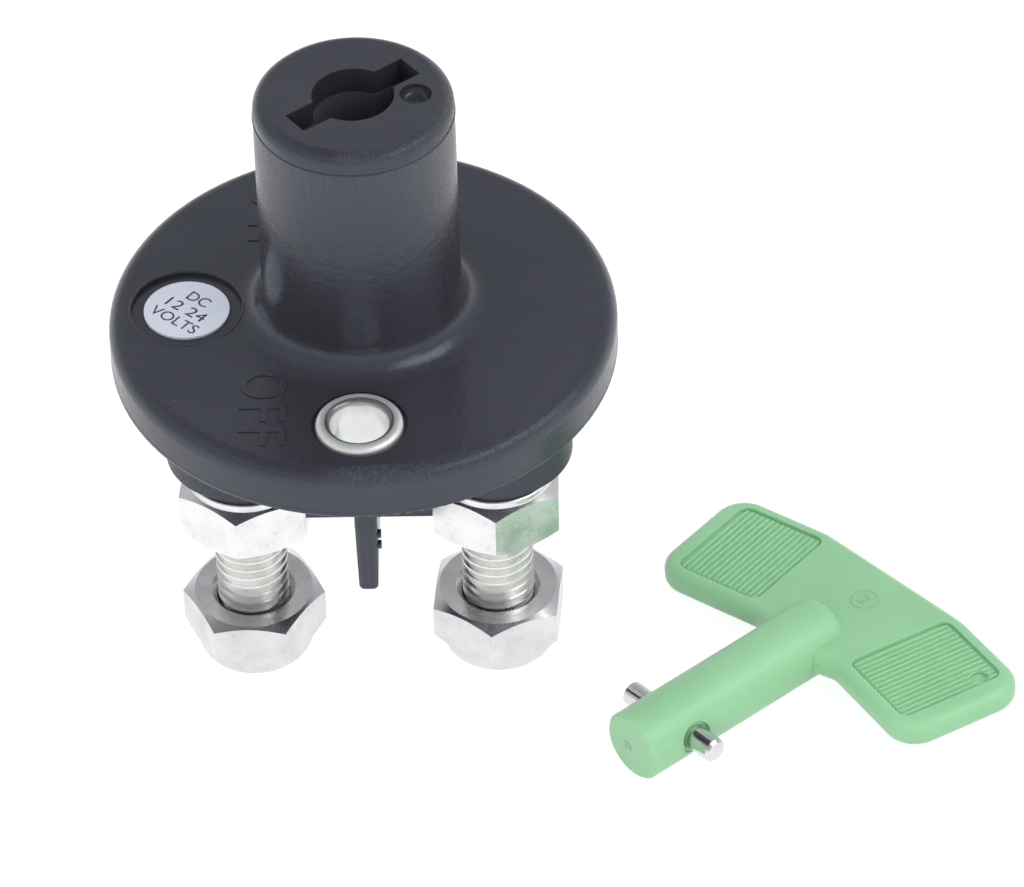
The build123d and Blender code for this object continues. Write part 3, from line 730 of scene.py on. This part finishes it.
def coil_mesh(name, coil_r, wire_r, turns, low, high, steps=48, around=12):
    """A round wire wound about the Z axis between two heights, closed at both ends."""
    mesh = bpy.data.meshes.new(name)
    bm = bmesh.new()
    rings = []
    rise = (high - low - 2 * wire_r) / (turns * steps)
    for i in range(turns * steps + 1):
        a = 2 * math.pi * i / steps
        z = low + wire_r + rise * i
        ring = []
        for j in range(around):
            b = 2 * math.pi * j / around
            r = coil_r + wire_r * math.cos(b)
            ring.append(bm.verts.new((r * math.cos(a), r * math.sin(a), z + wire_r * math.sin(b))))
        rings.append(ring)
    for ring, after in zip(rings, rings[1:]):
        for j in range(around):
            k = (j + 1) % around
            bm.faces.new((ring[j], after[j], after[k], ring[k]))
    bm.faces.new(rings[0])
    bm.faces.new(rings[-1])
    bmesh.ops.recalc_face_normals(bm, faces=bm.faces)
    bm.to_mesh(mesh)
    bm.free()
    for polygon in mesh.polygons:
        polygon.use_smooth = len(polygon.vertices) == 4
    return mesh


coil_r = spring_high.x - spring_wire_r
coil = coil_mesh("return_coil", coil_r, spring_wire_r, spring_turns, spring_low.z, spring_high.z)
coil = add_piece("return_coil", coil, slots["return_spring"])
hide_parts("return_spring")
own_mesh(coil)

# the key lies on its shaft: u runs up the shaft from the tip, v across it and w out of the handle
key_r = 4.95 * MM
key_turn = math.radians(39.7)
key_roll = math.radians(6.2)
key_u = Vector((math.cos(key_turn), math.sin(key_turn), 0))
key_side = Vector((-math.sin(key_turn), math.cos(key_turn), 0))
key_w = key_side * math.sin(key_roll) + Vector((0, 0, math.cos(key_roll)))
key_v = key_w.cross(key_u)
key_tip = Vector((34.65 * MM, -27.1 * MM, table_z + key_r))
key_frame = Matrix.Translation(key_tip) @ Matrix((key_u, key_v, key_w)).transposed().to_4x4()
handle_face = 2.0 * MM

# a mould mark in the middle of the handle: a raised ring round a plain number
mark_u = 41.6 * MM
mark_v = -1.1 * MM
mark_r = 1.9 * MM
mark_bead = 0.10 * MM
mark_place = key_frame @ Matrix.Translation((mark_u, mark_v, handle_face))
mark = ring_mesh("mark_ring", mark_r, mark_bead, 0.0, columns=72)
mark.transform(mark_place)
add_piece("mark_ring", mark, "green_plastic", body="key")
digit_w = 1.25 * MM
digit_h = 1.9 * MM
digit_rise = 0.09 * MM
digit = word_mesh("mark_digit", "2", bevel=letter_bevel)
fit_word(digit, digit_w, digit_h, digit_rise)
digit.transform(mark_place @ Matrix.Translation((0, 0, -sunk)) @ quarter_turn)
add_piece("mark_digit", digit, "green_plastic", body="key")

# the trimmed gate on the tip: (radius, height) in millimetres, turned to face out of the tip
gate_points = ((0, -0.02), (0.85, -0.02), (0.6, 0.12), (0.25, 0.05), (0, 0.04))
gate_v = 0.8 * MM
gate_w = -0.25 * MM
gate = turned_mesh("gate_mark", [(r * MM, z * MM) for r, z in gate_points], columns=32)
gate_place = key_frame @ Matrix.Translation((0, gate_v, gate_w))
gate.transform(gate_place @ Matrix.Rotation(math.radians(-90), 4, "Y"))
add_piece("gate_mark", gate, "green_plastic", body="key")

# ---------------------------------------------------------------- floor, light and camera
floor_size = 6.0
floor_gap = 0.02 * MM
# to the camera and in reflections: a near-white glow, and a grey that keeps the object's shadow
floor_glow = 0.93
floor_grey = (0.15, 0.15, 0.15, 1)
# to all other rays: a plain pale floor
floor_plain = (0.8, 0.8, 0.8, 1)
bpy.ops.mesh.primitive_plane_add(size=floor_size, location=(0, 0, table_z - floor_gap))
floor = bpy.context.object
floor.name = "floor"


def floor_material():
    """Pale floor: white to the camera and in reflections, with the object's shadow kept."""
    material = bpy.data.materials.new("floor")
    material.use_nodes = True
    tree = material.node_tree
    tree.nodes.clear()
    out = tree.nodes.new("ShaderNodeOutputMaterial")
    path = tree.nodes.new("ShaderNodeLightPath")
    seen = tree.nodes.new("ShaderNodeMath")
    seen.operation = "MAXIMUM"
    also = tree.nodes.new("ShaderNodeMath")
    also.operation = "MAXIMUM"
    glow = tree.nodes.new("ShaderNodeEmission")
    glow.inputs["Strength"].default_value = floor_glow
    shaded = tree.nodes.new("ShaderNodeBsdfDiffuse")
    shaded.inputs["Color"].default_value = floor_grey
    both = tree.nodes.new("ShaderNodeAddShader")
    plain = tree.nodes.new("ShaderNodeBsdfDiffuse")
    plain.inputs["Color"].default_value = floor_plain
    pick = tree.nodes.new("ShaderNodeMixShader")
    link = tree.links.new
    link(path.outputs["Is Camera Ray"], seen.inputs[0])
    link(path.outputs["Is Glossy Ray"], seen.inputs[1])
    link(seen.outputs[0], also.inputs[0])
    link(path.outputs["Is Transmission Ray"], also.inputs[1])
    link(glow.outputs[0], both.inputs[0])
    link(shaded.outputs[0], both.inputs[1])
    link(also.outputs[0], pick.inputs[0])
    link(plain.outputs[0], pick.inputs[1])
    link(both.outputs[0], pick.inputs[2])
    link(pick.outputs[0], out.inputs["Surface"])
    return material


wear(floor, floor_material())
studio_tint = (0.97, 0.985, 1.0)


def studio_world(stations):
    """A pale studio that is plain white to the camera.

    A station is (height, strength): height 0 is level and below, and 1 is straight up.
    """
    world = bpy.data.worlds.new("studio")
    bpy.context.scene.world = world
    world.use_nodes = True
    tree = world.node_tree
    tree.nodes.clear()
    out = tree.nodes.new("ShaderNodeOutputWorld")
    where = tree.nodes.new("ShaderNodeTexCoord")
    parts = tree.nodes.new("ShaderNodeSeparateXYZ")
    ramp = tree.nodes.new("ShaderNodeValToRGB")
    elements = ramp.color_ramp.elements
    while len(elements) < len(stations):
        elements.new(1.0)
    for element, (height, strength) in zip(elements, stations):
        element.position = height
        element.color = (*(strength * part for part in studio_tint), 1)
    light = tree.nodes.new("ShaderNodeBackground")
    white = tree.nodes.new("ShaderNodeBackground")
    white.inputs["Color"].default_value = (1, 1, 1, 1)
    path = tree.nodes.new("ShaderNodeLightPath")
    pick = tree.nodes.new("ShaderNodeMixShader")
    link = tree.links.new
    link(where.outputs["Generated"], parts.inputs[0])
    link(parts.outputs[2], ramp.inputs[0])
    link(ramp.outputs[0], light.inputs["Color"])
    link(path.outputs["Is Camera Ray"], pick.inputs[0])
    link(light.outputs[0], pick.inputs[1])
    link(white.outputs[0], pick.inputs[2])
    link(pick.outputs[0], out.inputs["Surface"])


studio_world(((0.0, 1.0), (0.12, 0.95), (0.28, 0.52), (0.70, 0.52), (0.86, 0.18), (1.0, 0.12)))


def soft_box(name, place, width, height, radiance, lights=True, mirrored=False):
    """A rectangular lamp of even radiance, aimed at the object.

    It lights the object, is mirrored in it, or both.
    """
    lamp = bpy.data.lights.new(name, "AREA")
    lamp.shape = "RECTANGLE"
    lamp.size = width
    lamp.size_y = height
    lamp.energy = radiance * math.pi * width * height
    obj = bpy.data.objects.new(name, lamp)
    bpy.context.scene.collection.objects.link(obj)
    obj.location = place
    obj.rotation_mode = "QUATERNION"
    obj.rotation_quaternion = (-Vector(place)).to_track_quat("-Z", "Y")
    obj.visible_diffuse = lights
    obj.visible_glossy = mirrored


# four boxes light the object unseen; the card is only mirrored, as the highlight on the neck
soft_box("key_box", (0.715, -0.19, 0.68), width=0.9, height=0.45, radiance=2.8)
card = {"width": 0.8, "height": 0.40, "radiance": 2.2, "lights": False, "mirrored": True}
soft_box("key_card", (0.66, -0.25, 0.64), **card)
soft_box("top_box", (0.0, 0.0, 1.2), width=1.5, height=1.5, radiance=1.25)
soft_box("left_box", (-0.95, -0.10, 0.45), width=0.5, height=0.5, radiance=2.8)
soft_box("front_box", (-0.15, -1.15, 0.40), width=1.0, height=0.8, radiance=1.7)

# the camera stands in front of the object and looks down at it; its angles are in radians
camera_place = Vector((0.02739, -0.54692, 0.48053))
camera_yaw = -0.015
camera_pitch = 0.739
camera_roll = -0.024
focal_in_widths = 5.372
ahead = Vector((math.sin(camera_yaw), math.cos(camera_yaw), 0))
forward = ahead * math.cos(camera_pitch) - Vector((0, 0, math.sin(camera_pitch)))
level = Vector((math.cos(camera_yaw), -math.sin(camera_yaw), 0))
upward = level.cross(forward)
right = level * math.cos(camera_roll) + upward * math.sin(camera_roll)
top = upward * math.cos(camera_roll) - level * math.sin(camera_roll)
camera_data = bpy.data.cameras.new("camera")
camera_data.sensor_width = 36.0
camera_data.lens = focal_in_widths * camera_data.sensor_width
camera_data.clip_start = 0.05
camera_data.clip_end = 50.0
camera = bpy.data.objects.new("camera", camera_data)
bpy.context.scene.collection.objects.link(camera)
camera_axes = Matrix((right, top, -forward)).transposed().to_4x4()
camera.matrix_world = Matrix.Translation(camera_place) @ camera_axes
bpy.context.scene.camera = camera
bpy.context.scene.view_settings.view_transform = "Standard"

bpy.context.view_layer.update()
